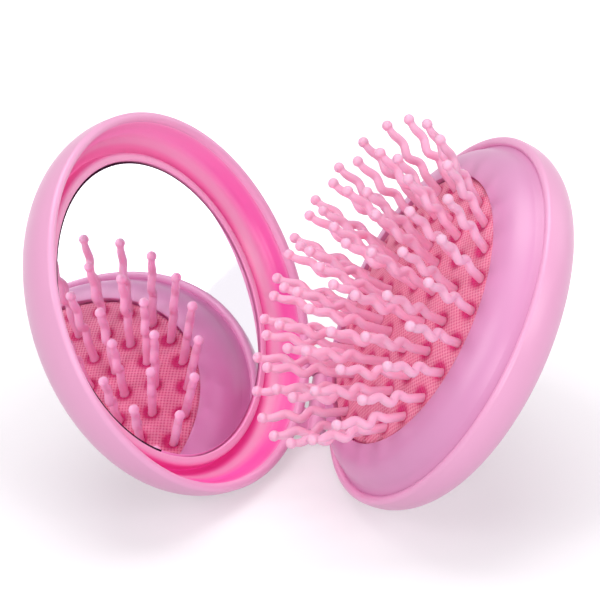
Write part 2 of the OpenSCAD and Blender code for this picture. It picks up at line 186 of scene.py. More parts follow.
def straight(points, step=2.0):
    """Adds points along the straight lengths that are longer than a step."""
    out = [points[0]]
    for a, b in zip(points, points[1:]):
        n = max(1, int(math.hypot(b[0] - a[0], b[1] - a[1]) / step))
        out += [(a[0] + (b[0] - a[0]) * i / n, a[1] + (b[1] - a[1]) * i / n)
                for i in range(1, n + 1)]
    return out


def rounded(points, radii, n):
    """A line of points whose corners are rounded, each by its own radius (0 keeps it)."""
    out = [points[0]]
    for i in range(1, len(points) - 1):
        p, q, s = (np.array(points[k], float) for k in (i - 1, i, i + 1))
        u, v = p - q, s - q
        lu, lv = np.hypot(*u), np.hypot(*v)
        cut = min(radii[i], 0.49 * lu, 0.49 * lv)
        if cut <= 0:
            out.append(tuple(q))
            continue
        a, b = q + u / lu * cut, q + v / lv * cut
        for t in np.linspace(0, 1, n):
            out.append(tuple((1 - t) ** 2 * a + 2 * t * (1 - t) * q + t * t * b))
    out.append(points[-1])
    return out


def curve_through(points, n):
    """A smooth line through the points, with n steps between each two."""
    p = np.array([points[0], *points, points[-1]], float)
    p[0], p[-1] = 2 * p[1] - p[2], 2 * p[-2] - p[-3]
    out = []
    for a, b, c, d in zip(p, p[1:], p[2:], p[3:]):
        for t in np.linspace(0, 1, n, endpoint=False):
            out.append(tuple(0.5 * (2 * b + (c - a) * t + (2 * a - 5 * b + 4 * c - d) * t * t
                                    + (3 * b - a - 3 * c + d) * t ** 3)))
    return out + [tuple(p[-2])]


def beside_lip(offsets):
    """Points given from the inner edge of a case's lip."""
    return [(CASE_R - WALL + x, LIP_Z + z) for x, z in offsets]


# ---- Node trees ----

MIX_A, MIX_B, MIX_RESULT = 6, 7, 2          # the colour sockets of a Mix node


class Net:
    """A node tree that is filled by adding nodes whose inputs are given as they are added."""

    def __init__(self, tree):
        self.tree = tree

    def feed(self, node, inputs):
        """Gives inputs, by name or number, a fixed value or another node's output."""
        for key, value in inputs.items():
            if isinstance(value, bpy.types.NodeSocket):
                self.tree.links.new(value, node.inputs[key])
            else:
                node.inputs[key].default_value = value

    def node(self, kind, inputs=None, **settings):
        """Adds a node and gives back its outputs."""
        node = self.tree.nodes.new(kind)
        for key, value in settings.items():
            setattr(node, key, value)
        self.feed(node, inputs or {})
        return node.outputs

    def maths(self, op, *values, clamp=False):
        """One step of arithmetic on numbers or other nodes' outputs."""
        return self.node("ShaderNodeMath", dict(enumerate(values)), operation=op, use_clamp=clamp)[0]

    def vector(self, x, y, z):
        return self.node("ShaderNodeCombineXYZ", {0: x, 1: y, 2: z})[0]

    def place(self):
        """The object's own coordinates."""
        return self.node("ShaderNodeTexCoord")["Object"]

    def attribute(self, name):
        return self.node("ShaderNodeAttribute", attribute_name=name)["Fac"]

    def noise(self, place, scale, detail=2.0):
        return self.node("ShaderNodeTexNoise", {"Vector": place, "Scale": scale, "Detail": detail})["Fac"]

    def ranged(self, value, low, high, start=0.3, end=0.7):
        """Stretches a value that runs from start to end, as most noise does, over low to high."""
        return self.node("ShaderNodeMapRange", {"Value": value, "From Min": start, "From Max": end,
                                                "To Min": low, "To Max": high})["Result"]

    def blended(self, share, first, second):
        """A colour between two others."""
        return self.node("ShaderNodeMix", {0: share, MIX_A: first, MIX_B: second},
                         data_type="RGBA")[MIX_RESULT]

    def varied(self, place, rgb, spread, scale):
        """A colour that wanders by slow noise between two near shades."""
        deep = [c * (1 - spread) for c in rgb]
        pale = [min(1, c * (1 + spread)) for c in rgb]
        return self.blended(self.noise(place, scale, 3.0), (*deep, 1), (*pale, 1))

    def bumped(self, height, distance, strength=1.0, invert=False):
        """A surface that is raised by a height; invert sinks it instead."""
        return self.node("ShaderNodeBump", {"Height": height, "Distance": distance, "Strength": strength},
                         invert=invert)["Normal"]

    def hand_over(self, geometry, material):
        """Ends a geometry tree: copies become real and take the one material."""
        real = self.node("GeometryNodeRealizeInstances", {0: geometry})[0]
        painted = self.node("GeometryNodeSetMaterial", {"Geometry": real, "Material": material})[0]
        self.node("NodeGroupOutput", {0: painted})


def geometry_tree(name, given, made):
    """A geometry tree with named inputs (name, kind, default), its net and those inputs."""
    tree = bpy.data.node_groups.new(name, "GeometryNodeTree")
    for label, kind, default in given:
        entry = tree.interface.new_socket(label, in_out="INPUT", socket_type=kind)
        if default is not None:
            entry.default_value = default
    tree.interface.new_socket(made, in_out="OUTPUT", socket_type="NodeSocketGeometry")
    net = Net(tree)
    return tree, net, net.node("NodeGroupInput")


def turned_wall_tree():
    """Turns the object's own outline about Z. Its points go round as rows of a grid."""
    tree, net, given = geometry_tree("Turned wall", (
        ("Outline", "NodeSocketGeometry", None),
        ("Steps", "NodeSocketInt", 96),
        ("Material", "NodeSocketMaterial", None)), "Wall")
    count = net.node("GeometryNodeAttributeDomainSize", {0: given["Outline"]})["Point Count"]
    rows = net.node("FunctionNodeIntegerMath", {0: given["Steps"], 1: 1}, operation="ADD")[0]
    grid = net.node("GeometryNodeMeshGrid", {"Vertices X": rows, "Vertices Y": count})["Mesh"]
    index = net.node("GeometryNodeInputIndex")[0]
    along = net.node("FunctionNodeIntegerMath", {0: index, 1: count}, operation="MODULO")[0]
    row = net.node("FunctionNodeIntegerMath", {0: index, 1: count}, operation="DIVIDE_FLOOR")[0]
    point = net.node("GeometryNodeSampleIndex",
                     {"Geometry": given["Outline"], "Value": net.node("GeometryNodeInputPosition")[0],
                      "Index": along}, data_type="FLOAT_VECTOR", domain="POINT")[0]
    angle = net.maths("MULTIPLY", net.maths("DIVIDE", row, given["Steps"]), 2 * math.pi)
    turned_to = net.node("ShaderNodeVectorRotate", {"Vector": point, "Angle": angle},
                         rotation_type="Z_AXIS")[0]
    wall = net.node("GeometryNodeSetPosition", {"Geometry": grid, "Position": turned_to})[0]
    welded = net.node("GeometryNodeMergeByDistance", {"Geometry": wall, "Distance": 0.0005})[0]
    net.hand_over(welded, given["Material"])
    return tree


def pin_ring_tree():
    """Sweeps the object's own line into one pin and sets copies of it round a ring."""
    tree, net, given = geometry_tree("Ring of pins", (
        ("Spine", "NodeSocketGeometry", None),
        ("Pins", "NodeSocketInt", 6),
        ("Pins in full ring", "NodeSocketInt", 6),
        ("First pin", "NodeSocketFloat", 0.0),
        ("Ring radius", "NodeSocketFloat", RING_PITCH),
        ("Root height", "NodeSocketFloat", CROWN_Z),
        ("Lean", "NodeSocketFloat", 0.1),
        ("Material", "NodeSocketMaterial", None)), "Pins")
    line = net.node("GeometryNodeMeshToCurve", {"Mesh": given["Spine"]})[0]
    circle = net.node("GeometryNodeCurvePrimitiveCircle", {"Resolution": PIN_SIDES, "Radius": 1.0})["Curve"]
    girth = net.node("GeometryNodeInputNamedAttribute", {"Name": "girth"}, data_type="FLOAT")["Attribute"]
    pin = net.node("GeometryNodeCurveToMesh", {"Curve": line, "Profile Curve": circle, "Scale": girth,
                                               "Fill Caps": True})[0]

    number = net.maths("ADD", net.node("GeometryNodeInputIndex")[0], given["First pin"])
    turn = net.maths("MULTIPLY", net.maths("DIVIDE", number, given["Pins in full ring"]), 2 * math.pi)
    x = net.maths("MULTIPLY", net.maths("COSINE", turn), given["Ring radius"])
    y = net.maths("MULTIPLY", net.maths("SINE", turn), given["Ring radius"])
    roots = net.node("GeometryNodePoints", {"Count": given["Pins"],
                                            "Position": net.vector(x, y, given["Root height"])})[0]
    lean = net.node("FunctionNodeEulerToRotation", {0: net.vector(0.0, given["Lean"], turn)})[0]
    # Every pin's bends face the same way, wherever it stands in its ring
    back = net.vector(0.0, 0.0, net.maths("SUBTRACT", math.pi / 2, turn))
    swing = net.node("FunctionNodeEulerToRotation", {0: back})[0]
    both = net.node("FunctionNodeRotateRotation", {"Rotation": lean, "Rotate By": swing},
                    rotation_space="LOCAL")[0]
    pins = net.node("GeometryNodeInstanceOnPoints", {"Points": roots, "Instance": pin,
                                                     "Rotation": both})[0]
    net.hand_over(pins, given["Material"])
    return tree


def tree_once(name, maker):
    """The tree of that name, made only if it isn't there yet."""
    return bpy.data.node_groups.get(name) or maker()


# ---- Meshes and objects ----

def linked(name, data):
    """A new object for a mesh, lamp or camera, in the scene."""
    obj = bpy.data.objects.new(name, data)
    bpy.context.scene.collection.objects.link(obj)
    return obj


def mark(mesh, name, values):
    """Stores a number for each of the mesh's points."""
    numbers = np.array(values, np.float32)
    mesh.attributes.new(name, "FLOAT", "POINT").data.foreach_set("value", numbers)


def line_object(name, points):
    """An object whose mesh is only a line of points, for a tree to work on."""
    mesh = bpy.data.meshes.new(name)
    mesh.from_pydata([tuple(p) for p in points], [(i, i + 1) for i in range(len(points) - 1)], [])
    return linked(name, mesh)


def grown(obj, tree, **inputs):
    """Runs a tree on the object and keeps the result as its own plain mesh."""
    mod = obj.modifiers.new("Grow", "NODES")
    mod.node_group = tree
    known = {s.name: s.identifier for s in tree.interface.items_tree
             if s.item_type == "SOCKET" and s.in_out == "INPUT"}
    for key, value in inputs.items():
        mod[known[key.replace("_", " ")]] = value
    bpy.context.view_layer.update()
    graph = bpy.context.evaluated_depsgraph_get()
    mesh = bpy.data.meshes.new_from_object(obj.evaluated_get(graph), depsgraph=graph)
    obj.modifiers.clear()
    obj.data = mesh
    # The grid's own empty slot goes, so the tree's material is the only one
    mesh.materials.clear()
    mesh.materials.append(inputs["Material"])
    mesh.polygons.foreach_set("material_index", np.zeros(len(mesh.polygons), np.int32))


def finish_mesh(obj, matrix, crease):
    """Puts a mesh in its place, turns its faces outwards and shades it smooth up to a crease."""
    mesh = obj.data
    bm = bmesh.new()
    bm.from_mesh(mesh)
    bmesh.ops.dissolve_degenerate(bm, dist=1e-6, edges=bm.edges)
    if bm.calc_volume(signed=True) < 0:
        bmesh.ops.reverse_faces(bm, faces=bm.faces)
    loose = [e for e in bm.edges if not e.is_manifold]
    if loose:
        raise RuntimeError(f"{obj.name} isn't closed: {len(loose)} open edges")
    bm.to_mesh(mesh)
    bm.free()
    mesh.transform(matrix)
    mesh.polygons.foreach_set("use_smooth", np.ones(len(mesh.polygons), bool))
    mesh.set_sharp_from_angle(angle=math.radians(crease))
    mesh.update()
    return obj


ON_AXIS = 1e-9           # an outline that ends nearer the axis than this ends on it


def turned(name, outline, matrix, material, steps=160, crease=40.0, painted_shade=None):
    """A piece turned about its half's axis from an outline, marked with its painted light and shade where
    one is given.
    """
    if max(outline[0][0], outline[-1][0]) > ON_AXIS:
        outline = outline + [outline[0]]
    obj = line_object(name, [(r, 0, z) for r, z in outline])
    grown(obj, tree_once("Turned wall", turned_wall_tree), Steps=steps, Material=material)
    if painted_shade:
        at = np.array([v.co for v in obj.data.vertices])
        mark(obj.data, "painted_shade", painted_shade(*at.T))
    return finish_mesh(obj, matrix, crease)


def settle(obj, body, node):
    """Says what a piece rides on and hides the frame's solid that it stands for."""
    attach(obj, body)
    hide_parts(node)


# ---- Sizes and colours a user would change ----

def colour(name, description, value):
    return bpy.props.FloatVectorProperty(name=name, description=description, subtype="COLOR",
                                         size=3, min=0, max=1, default=value)


def length(name, description, value):
    return bpy.props.FloatProperty(name=name, description=description, default=value * MM,
                                   unit="LENGTH", subtype="DISTANCE", precision=5)


class HairbrushSizes(bpy.types.PropertyGroup):
    """Sizes of the pieces that are only looks."""
    pin_length: length("Pin length", "From the cushion to the middle of the ball", 19.5)
    pin_radius: length("Pin radius", "Radius of a pin's wavy stem", 0.98)
    ball_radius: length("Ball radius", "Radius of the ball on a pin's end", 1.19)
    weave_pitch: length("Weave pitch", "Distance between the cushion's threads", 0.72)
    mirror_bevel: length("Mirror bevel", "Ground edge of the mirror glass", 0.42)


class HairbrushColours(bpy.types.PropertyGroup):
    """Colours of the finishes."""
    shell: colour("Case", "Moulded plastic of the two outer shells", (0.90, 0.41, 0.66))
    collar: colour("Collar", "Moulded plastic of the collar", (0.73, 0.295, 0.545))
    bowl: colour("Bowl", "Moulded plastic of the lid's liner at its mouth", (0.96, 0.42, 0.67))
    # The deepest pink of the bowl: partly the liner's own hot pink, partly painted shade in its trough; the
    # inner parts take it as their own colour
    trough: colour("Trough", "The same plastic where its pink is deepest", (0.96, 0.085, 0.45))
    cushion: colour("Cushion", "Woven rubber of the cushion", (0.97, 0.345, 0.50))
    # Painted shade in the hollows between the threads
    hollows: colour("Hollows", "The rubber between the threads", (0.80, 0.11, 0.27))
    # Painted shade round each pin's root
    painted_root_shade: colour("Dimples", "The rubber drawn in round a pin", (0.68, 0.005, 0.17))
    pins: colour("Pins", "Nylon of the pins at their roots", (0.97, 0.48, 0.69))
    tips: colour("Tips", "Nylon of the pins at their balls", (0.96, 0.50, 0.69))
    floor: colour("Floor", "Studio floor", (0.62, 0.61, 0.63))


def sizes():
    return bpy.context.scene.hairbrush_sizes


def colours():
    return bpy.context.scene.hairbrush_colours


# ---- Finishes: noise scales are in marks per metre ----

def new_finish(name):
    """A new material, its net and its shader."""
    mat = bpy.data.materials.new(name)
    mat.use_nodes = True
    return mat, Net(mat.node_tree), mat.node_tree.nodes["Principled BSDF"]


def made_once(maker):
    """Lets a finish be asked for again by its name without making it twice."""
    def asked(name, *given, **more):
        return bpy.data.materials.get(name) or maker(name, *given, **more)
    return asked


@made_once
def moulded(name, rgb, rough, deep=None, ior=1.49):
    """Glossy moulded plastic: faint flow marks, a fine orange peel and polish that varies; where a deep
    colour is given, painted light and shade toward it.
    """
    mat, net, shader = new_finish(name)
    place = net.place()
    base = net.varied(place, rgb, spread=0.02, scale=45.0)
    if deep is not None:
        # Painted light and shade: the pink goes toward the deep colour as the mesh's painted shade share
        # rises
        base = net.blended(net.attribute("painted_shade"), base, (*deep, 1))
    smear = net.noise(place, scale=140.0, detail=4.0)
    peel = net.noise(place, scale=900.0)
    net.feed(shader, {
        "Base Color": base,
        "Roughness": net.ranged(smear, rough * 0.93, rough * 1.08),
        "Normal": net.bumped(peel, 0.0015 * MM, strength=0.2),
        "IOR": ior,
    })
    return mat


@made_once
def steel(name):
    """Drawn steel with fine turning marks."""
    mat, net, shader = new_finish(name)
    place = net.place()
    net.feed(shader, {
        "Base Color": net.varied(place, (0.55, 0.55, 0.57), spread=0.08, scale=300.0),
        "Roughness": net.ranged(net.noise(place, scale=1500.0), 0.29, 0.42),
        "Metallic": 1.0,
    })
    return mat


@made_once
def soft_dark(name, rgb, scale, depth):
    """Foam or rubber: matt, with fine pits of a given scale and depth in millimetres."""
    mat, net, shader = new_finish(name)
    place = net.place()
    pits = net.noise(place, scale)
    net.feed(shader, {
        "Base Color": net.varied(place, rgb, spread=0.15, scale=scale / 3),
        "Roughness": net.ranged(pits, 0.6, 0.85),
        "Normal": net.bumped(pits, depth * MM),
    })
    return mat


@made_once
def silvered(name):
    """Mirror glass: a bright silver with the faintest haze."""
    mat, net, shader = new_finish(name)
    place = net.place()
    net.feed(shader, {
        "Base Color": net.varied(place, (0.95, 0.905, 0.975), spread=0.012, scale=25.0),
        "Roughness": net.ranged(net.noise(place, scale=60.0), 0.012, 0.03),
        "Metallic": 1.0,
    })
    return mat


@made_once
def edge_shade_finish(name):
    """Painted shade on the mirror's ground edge: a dark finish standing in for the shadowed gap between
    glass and bezel.
    """
    mat, net, shader = new_finish(name)
    place = net.place()
    net.feed(shader, {
        "Base Color": net.varied(place, (0.045, 0.008, 0.03), spread=0.3, scale=500.0),
        "Roughness": net.ranged(net.noise(place, scale=1800.0), 0.4, 0.5),
        "Specular IOR Level": 0.15,
    })
    return mat


HOLE_EDGE = 2.2          # how crisp the hole between four threads is
THREAD_DIP = 0.35        # how far the line between two threads sinks, next to a hole


@made_once
def woven_rubber(name, rgb, shade, root_shade_rgb, pitch):
    """Coral rubber with a fine plain weave pressed into it, read from the dome's own UV map, with painted
    shade in the weave's hollows and round each pin's root.
    """
    mat, net, shader = new_finish(name)
    across = net.node("ShaderNodeSeparateXYZ", {0: net.node("ShaderNodeUVMap", uv_map="dome")[0]})
    gaps = []
    for way in (across[0], across[1]):
        wave = net.maths("COSINE", net.maths("MULTIPLY", way, math.pi / (pitch * MM)))
        gaps.append(net.maths("POWER", net.maths("ABSOLUTE", wave), HOLE_EDGE))
    dip = net.maths("MULTIPLY_ADD", net.maths("MAXIMUM", *gaps), THREAD_DIP, net.maths("MULTIPLY", *gaps))
    # Painted shade: the colour darkens into the hollows between the threads
    woven = net.blended(net.ranged(dip, 0, 1, 0.1, 1.1), (*rgb, 1), (*shade, 1))
    # Painted shade: the rubber darkens round each pin's root, where the pins shade it
    root_shade_share = net.ranged(net.attribute("root"), 0, 1, 0.0, 0.7)
    net.feed(shader, {
        "Base Color": net.blended(root_shade_share, woven, (*root_shade_rgb, 1)),
        "Roughness": net.ranged(dip, 0.5, 0.7, 0, 1),
        "Normal": net.bumped(dip, 0.16 * MM, strength=0.9, invert=True),
        "Subsurface Weight": 0.2,
        "Subsurface Radius": (1.0, 0.4, 0.4),
        "Subsurface Scale": 0.8 * MM,
        "Sheen Weight": 0.15,
        "Sheen Roughness": 0.5,
    })
    return mat


@made_once
def milky_nylon(name, root_rgb, tip_rgb):
    """Slightly see-through nylon, a shade paler at the ball than at the root."""
    mat, net, shader = new_finish(name)
    cloud = net.noise(net.place(), scale=420.0)
    height = net.maths("ADD", net.attribute("height"), net.ranged(cloud, -0.12, 0.12), clamp=True)
    net.feed(shader, {
        "Base Color": net.blended(height, (*root_rgb, 1), (*tip_rgb, 1)),
        "Roughness": net.ranged(cloud, 0.29, 0.38),
        "Subsurface Weight": 0.5,
        "Subsurface Radius": (1.0, 0.5, 0.6),
        "Subsurface Scale": 1.2 * MM,
        "IOR": 1.52,
    })
    return mat


def case_finish():
    return moulded("case plastic", colours().shell, 0.33, ior=1.56)


def bowl_finish():
    return moulded("bowl plastic", colours().bowl, 0.32, deep=colours().trough)


def inner_finish():
    return moulded("inner plastic", colours().trough, 0.32)


# ---- The two shells and the hinge ----

def shell_outline(depth, shoulder, start_r):
    """A shell's wall in three parts: the outside, the rounded lip and the inside."""
    outer = straight(bowl_side(depth, shoulder, 0, start_r) + [(CASE_R, LIP_Z)])
    lip = arc(CASE_R - LIP_R, LIP_Z, LIP_R, 0, 180, LIP_STEPS)
    inner = straight(bowl_side(depth, shoulder, WALL, start_r) + [(CASE_R - WALL, LIP_Z)])
    return outer, lip, inner


def knuckles(name, spans, matrix):
    """Hinge knuckles with the webs that run into the wall, one closed form for each span."""
    bm = bmesh.new()
    web_r = CASE_R - LIP_R
    lead = math.degrees(math.asin(KNUCKLE_TOP_Z / KNUCKLE_R))
    for y0, y1 in spans:
        rows = []
        for y in (y0, *np.linspace(y0 + KNUCKLE_BEVEL, y1 - KNUCKLE_BEVEL, 9), y1):
            inset = KNUCKLE_BEVEL if y in (y0, y1) else 0.0
            r = KNUCKLE_R - inset
            reach = HINGE_X - math.sqrt(web_r ** 2 - y * y)
            loop = [(reach, KNUCKLE_TOP_Z - inset)] + arc(0, 0, r, lead, 270, 30) + [(reach, -r)]
            rows.append([bm.verts.new((x - HINGE_X, y, z)) for x, z in loop])
        n = len(rows[0])
        for a, b in zip(rows, rows[1:]):
            for i in range(n):
                bm.faces.new((a[i], a[(i + 1) % n], b[(i + 1) % n], b[i]))
        bm.faces.new(rows[0])
        bm.faces.new(list(reversed(rows[-1])))
    bmesh.ops.recalc_face_normals(bm, faces=bm.faces)
    mesh = bpy.data.meshes.new(name)
    bm.to_mesh(mesh)
    bm.free()
    mesh.materials.append(case_finish())
    return finish_mesh(linked(name, mesh), matrix, 35.0)


# ---- The lid ----

# Painted light and shade in the bowl's pink, from 0 (pale) to 1 (deep), at each depth in the lid: on its
# wall and on its bezel
WALL_PAINTED_SHADE = ((1.3, 0.1), (1.8, 0.55), (2.4, 0.95), (3.4, 1.0), (4.4, 1.0), (5.4, 0.6), (6.4, 0.1),
             (7.4, 0.1), (8.1, 0.8), (8.7, 1.0))
BEZEL_PAINTED_SHADE = ((6.9, 0.0), (7.2, 0.3), (7.9, 0.85), (8.6, 1.0))
BEZEL_PAINTED_SHADE_R = MIRROR_R + 2.6
# The side of the bowl, in degrees round the lid, where painted light leaves the pink mildest,
# the painted shade's strength there and how narrow that side is
MILD_SIDE, MILD, MILD_EDGE = -60.0, 0.45, 6


def bowl_painted_shade(x, y, z):
    """Painted light and shade in the bowl's pink: pale at the mouth and on the bezel, deep in the trough,
    milder on one side.
    """
    wall = np.interp(-z, *zip(*WALL_PAINTED_SHADE))
    bezel = np.interp(-z, *zip(*BEZEL_PAINTED_SHADE))
    near_mild = 0.5 + 0.5 * np.cos(np.arctan2(y, x) - math.radians(MILD_SIDE))
    strength = 1 - (1 - MILD) * near_mild ** MILD_EDGE
    return strength * np.where(np.hypot(x, y) < BEZEL_PAINTED_SHADE_R, bezel, wall)


def bowl_outline():
    """The bowl's wall: up behind the case's skin, over the mouth and down to the mirror's seat."""
    skin = WALL + FIT
    seat_z = -MIRROR_DEPTH - MIRROR_T - TAPE_T
    floor_z = seat_z - LINER_T
    shoulder_x, far = CASE_R - LID_SHOULDER_R, LID_SHOULDER_R - skin
    near = far - LINER_T
    low = math.degrees(math.asin((floor_z - WAIST_Z) / far))
    back = arc(shoulder_x, WAIST_Z, far, low, 0, 16) + [(CASE_R - skin, LIP_Z - 0.6)]
    # The wall leaves the case's lip without a step and swells gently down to the trough
    mouth = curve_through(beside_lip(BOWL_MOUTH) + [(shoulder_x + near - 0.1, WAIST_Z - BOWL_SWELL)], 8)
    turn = math.degrees(math.asin(BOWL_SWELL / near))
    bottom = math.degrees(math.asin((seat_z + TROUGH_RISE - WAIST_Z) / near))
    wall = arc(shoulder_x, WAIST_Z, near, -turn - 4, bottom, 16)
    hole_r, ring_top = MIRROR_R + FIT, BEZEL_H - MIRROR_DEPTH
    bezel_r = hole_r + BEZEL_W
    bezel = rounded([wall[-1], (bezel_r + BEZEL_FOOT, seat_z + BEZEL_FOOT), (bezel_r, ring_top),
                     (hole_r, ring_top), (hole_r, seat_z)], BEZEL_ROUNDING, 10)
    return [(0.0, floor_z)] + back + mouth + wall + bezel[1:] + [(0.0, seat_z)]


class HAIRBRUSH_OT_lid(bpy.types.Operator):
    """Build the lid's case, its hinge knuckles and the bowl that shows inside it"""
    bl_idname = "hairbrush.lid"
    bl_label = "Lid"

    def execute(self, context):
        outer, lip, inner = shell_outline(LID_DEPTH, LID_SHOULDER_R, 0.0)
        case = turned("lid_case", outer + lip[1:-1] + inner[::-1], IN_LID, case_finish())
        settle(case, "lid", "lid_shell")
        start = MID_HALF_L + KNUCKLE_GAP
        ears = knuckles("lid_knuckles", [(start, HINGE_HALF_L), (-HINGE_HALF_L, -start)], IN_LID)
        settle(ears, "lid", "lid_shell")
        # The bowl's pink carries painted light and shade by depth and by side
        bowl = turned("lid_bowl", bowl_outline(), IN_LID, bowl_finish(), painted_shade=bowl_painted_shade)
        settle(bowl, "lid", "lid_liner")
        return {"FINISHED"}


UNSHADED_EDGE = (104.0, 176.0)     # the ground edge has no painted shade here, in degrees round the lid


class HAIRBRUSH_OT_mirror(bpy.types.Operator):
    """Build the round mirror glass with its ground edge"""
    bl_idname = "hairbrush.mirror"
    bl_label = "Mirror"

    def execute(self, context):
        cut = sizes().mirror_bevel / MM
        top, under = -MIRROR_DEPTH, -MIRROR_DEPTH - MIRROR_T
        outline = [(0.0, top), (MIRROR_R - cut, top), (MIRROR_R, top - cut),
                   (MIRROR_R, under + BACK_BEVEL), (MIRROR_R - BACK_BEVEL, under), (0.0, under)]
        glass = turned("mirror_plate", outline, IN_LID, silvered("silvered glass"), 192, 20.0)
        glass.data.materials.append(edge_shade_finish("painted edge shade"))
        to_lid = IN_LID.inverted()
        for face in glass.data.polygons:
            at = to_lid @ face.center
            ground = math.hypot(at.x, at.y) > MIRROR_R - cut + 0.02 and at.z > under + 2 * BACK_BEVEL
            unshaded = UNSHADED_EDGE[0] < math.degrees(math.atan2(at.y, at.x)) < UNSHADED_EDGE[1]
            # Painted shade: the ground edge takes the dark finish except on the unshaded stretch
            face.material_index = int(ground and not unshaded)
        settle(glass, "lid", "mirror_glass")
        return {"FINISHED"}


# ---- The base ----

class HAIRBRUSH_OT_base(bpy.types.Operator):
    """Build the base's case with its flat foot, guide tube and hinge knuckle"""
    bl_idname = "hairbrush.base"
    bl_label = "Base"

    def execute(self, context):
        outer, lip, inner = shell_outline(BASE_DEPTH, BASE_SHOULDER_R, FOOT_R)
        foot_z = dome_z(BASE_DEPTH, BASE_SHOULDER_R, FOOT_R)
        floor_z = foot_z + WALL
        inner = [p for p in inner if p[1] > floor_z + 0.05]
        tube_out = TUBE_R + WALL
        foot = rounded([(TUBE_R, TUBE_TOP_Z), (TUBE_R, foot_z), (FOOT_R, foot_z), outer[1]],
                       [0, TUBE_ROUNDING, FOOT_ROUNDING, 0], 6)
        tube = [(FOOT_R, floor_z), (tube_out, floor_z), (tube_out, TUBE_TOP_Z), (TUBE_R, TUBE_TOP_Z)]
        outline = foot[1:-1] + outer[1:] + lip[1:-1] + inner[::-1] + tube
        case = turned("base_case", outline, IN_BASE, case_finish())
        settle(case, "base", "base_shell")
        knuckle = knuckles("base_knuckle", [(-MID_HALF_L, MID_HALF_L)], IN_BASE)
        settle(knuckle, "base", "base_shell")
        return {"FINISHED"}


class HAIRBRUSH_OT_collar(bpy.types.Operator):
    """Build the smooth collar round the pin bed"""
    bl_idname = "hairbrush.collar"
    bl_label = "Collar"

    def execute(self, context):
        top_z = COLLAR_H - COLLAR_W
        # The crown runs down into a shallow valley beside the case's lip
        over = arc(OPENING_R, top_z, COLLAR_W, COLLAR_START, COLLAR_END, 40)
        valley = curve_through(beside_lip(COLLAR_VALLEY) + [over[0]], 6)
        under = arc(OPENING_R, top_z, COLLAR_W - COLLAR_T, COLLAR_END, 0, 30)
        lip = rounded([over[-1], (OPENING_R, COLLAR_H - 0.02), (OPENING_R, COLLAR_H - COLLAR_T), under[0]],
                      COLLAR_ROUNDING, 7)
        skirt = [(COLLAR_OUTER_R - COLLAR_T, -SKIRT_H), (COLLAR_OUTER_R, -SKIRT_H),
                 (COLLAR_OUTER_R, LIP_Z - 0.9)]
        outline = valley[:-1] + over + lip[1:-1] + under + skirt
        finish = moulded("collar plastic", colours().collar, 0.38, ior=1.6)
        collar = turned("brush_collar", outline, IN_BASE, finish, 192)
        settle(collar, "base", "collar")
        return {"FINISHED"}


# ---- The cushion ----

def pin_roots():
    """Where the pins stand, as (x, y) in the base's own frame."""
    roots = []
    for ring, count in enumerate(RING_COUNT):
        for i in range(count):
            a = 2 * math.pi * (i + RING_START[ring]) / count
            roots.append((ring * RING_PITCH * math.cos(a), ring * RING_PITCH * math.sin(a)))
    return np.array(roots)


def cushion_mesh(name, material):
    """The cushion as a closed skin whose crown is drawn in round each pin."""
    steps = 360
    turns = np.linspace(0, 2 * math.pi, steps, endpoint=False)
    roll = np.sin(np.linspace(0.15, math.pi / 2, 7))
    crown = np.concatenate([np.linspace(POLE_R, EDGE_R - EDGE_ROLL, 104),
                            EDGE_R - EDGE_ROLL * (1 - roll)])
    skirt = [(EDGE_R, CLAMP_Z + 0.05), (BED_R - BED_BEVEL, CLAMP_Z), (BED_R, CLAMP_Z - BED_BEVEL),
             (BED_R, CLAMP_Z - CUSHION_T), (EDGE_R - 2.0, CLAMP_Z - CUSHION_T)]
    skirt += [(r, crown_z(r) - CUSHION_T) for r in np.linspace(EDGE_R - 2.2, 1.0, 12)]

    roots = pin_roots()
    x, y = np.outer(crown, np.cos(turns)).ravel(), np.outer(crown, np.sin(turns)).ravel()
    near = np.hypot(roots[:, 0][:, None] - x, roots[:, 1][:, None] - y).min(0)
    reach = np.hypot(x, y)
    round_off = np.clip((reach - (EDGE_R - EDGE_ROLL)) / EDGE_ROLL, 0, 1)
    z = crown_z(reach) - EDGE_DROP * (1 - np.sqrt(1 - round_off ** 2))
    z -= DIMPLE_DEPTH * np.exp(-(near / DIMPLE_R) ** 2)
    points = [(0.0, 0.0, CROWN_Z - DIMPLE_DEPTH)] + list(zip(x, y, z))
    # Painted shade round each pin's root: 1 at a root, fading out past ROOT_SHADE_R
    shade = [1.0] + list(np.exp(-(near / ROOT_SHADE_R) ** ROOT_SHADE_EDGE))
    for r, low in skirt:
        points += [(r * c, r * q, low) for c, q in zip(np.cos(turns), np.sin(turns))]
        shade += [0.0] * steps

    def ring(k):
        return [1 + k * steps + i for i in range(steps)]

    rows = len(crown) + len(skirt)
    faces = [(0, 1 + i, 1 + (i + 1) % steps) for i in range(steps)]
    for k in range(rows - 1):
        a, b = ring(k), ring(k + 1)
        faces += [(a[i], b[i], b[(i + 1) % steps], a[(i + 1) % steps]) for i in range(steps)]
    faces.append(tuple(reversed(ring(rows - 1))))
    mesh = bpy.data.meshes.new(name)
    mesh.from_pydata(points, [], faces)
    mark(mesh, "root", shade)
    flat = np.array(points)[:, :2] * MM
    which = np.zeros(len(mesh.loops), int)
    mesh.loops.foreach_get("vertex_index", which)
    mesh.uv_layers.new(name="dome").data.foreach_set("uv", flat[which].ravel())
    mesh.materials.append(material)
    return finish_mesh(linked(name, mesh), IN_BASE, 60.0)


class HAIRBRUSH_OT_cushion(bpy.types.Operator):
    """Build the domed cushion that the pins stand in"""
    bl_idname = "hairbrush.cushion"
    bl_label = "Cushion"

    def execute(self, context):
        c = colours()
        weave = woven_rubber("woven rubber", c.cushion, c.hollows, c.painted_root_shade, sizes().weave_pitch / MM)
        pad = cushion_mesh("pad_cushion", weave)
        settle(pad, "bed", "cushion")
        return {"FINISHED"}


# ---- The pins ----

